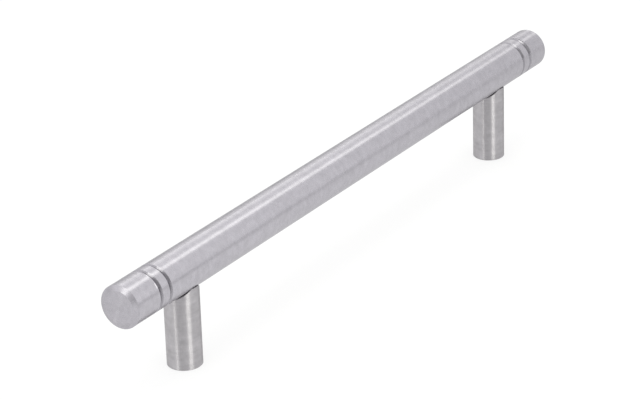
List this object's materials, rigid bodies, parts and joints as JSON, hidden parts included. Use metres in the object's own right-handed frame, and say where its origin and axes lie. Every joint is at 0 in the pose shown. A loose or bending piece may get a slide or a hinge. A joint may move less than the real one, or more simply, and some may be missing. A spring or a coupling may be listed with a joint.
{
  "type": "t bar cabinet pull",
  "caption": "Round T bar cabinet pull with turned grooves near its ends, carried on round posts whose tapped feet take screws through a door or drawer front.",
  "frame": {"origin": "on the door's face, midway between the posts", "axes": "+X along the bar, +Z away from the door, +Y across the bar"},
  "size_m": [0.254, 0.014, 0.0385],
  "materials": {
    "bar_steel": "satin, brushed round the bar",
    "post_steel": "satin, brushed round the post",
    "set_screw_steel": "plain machined"
  },
  "bodies": {
    "root": {"grip_bar": "bar_steel", "left_post": "post_steel", "right_post": "post_steel", "left_set_screw": "set_screw_steel", "right_set_screw": "set_screw_steel"}
  },
  "joints": []
}
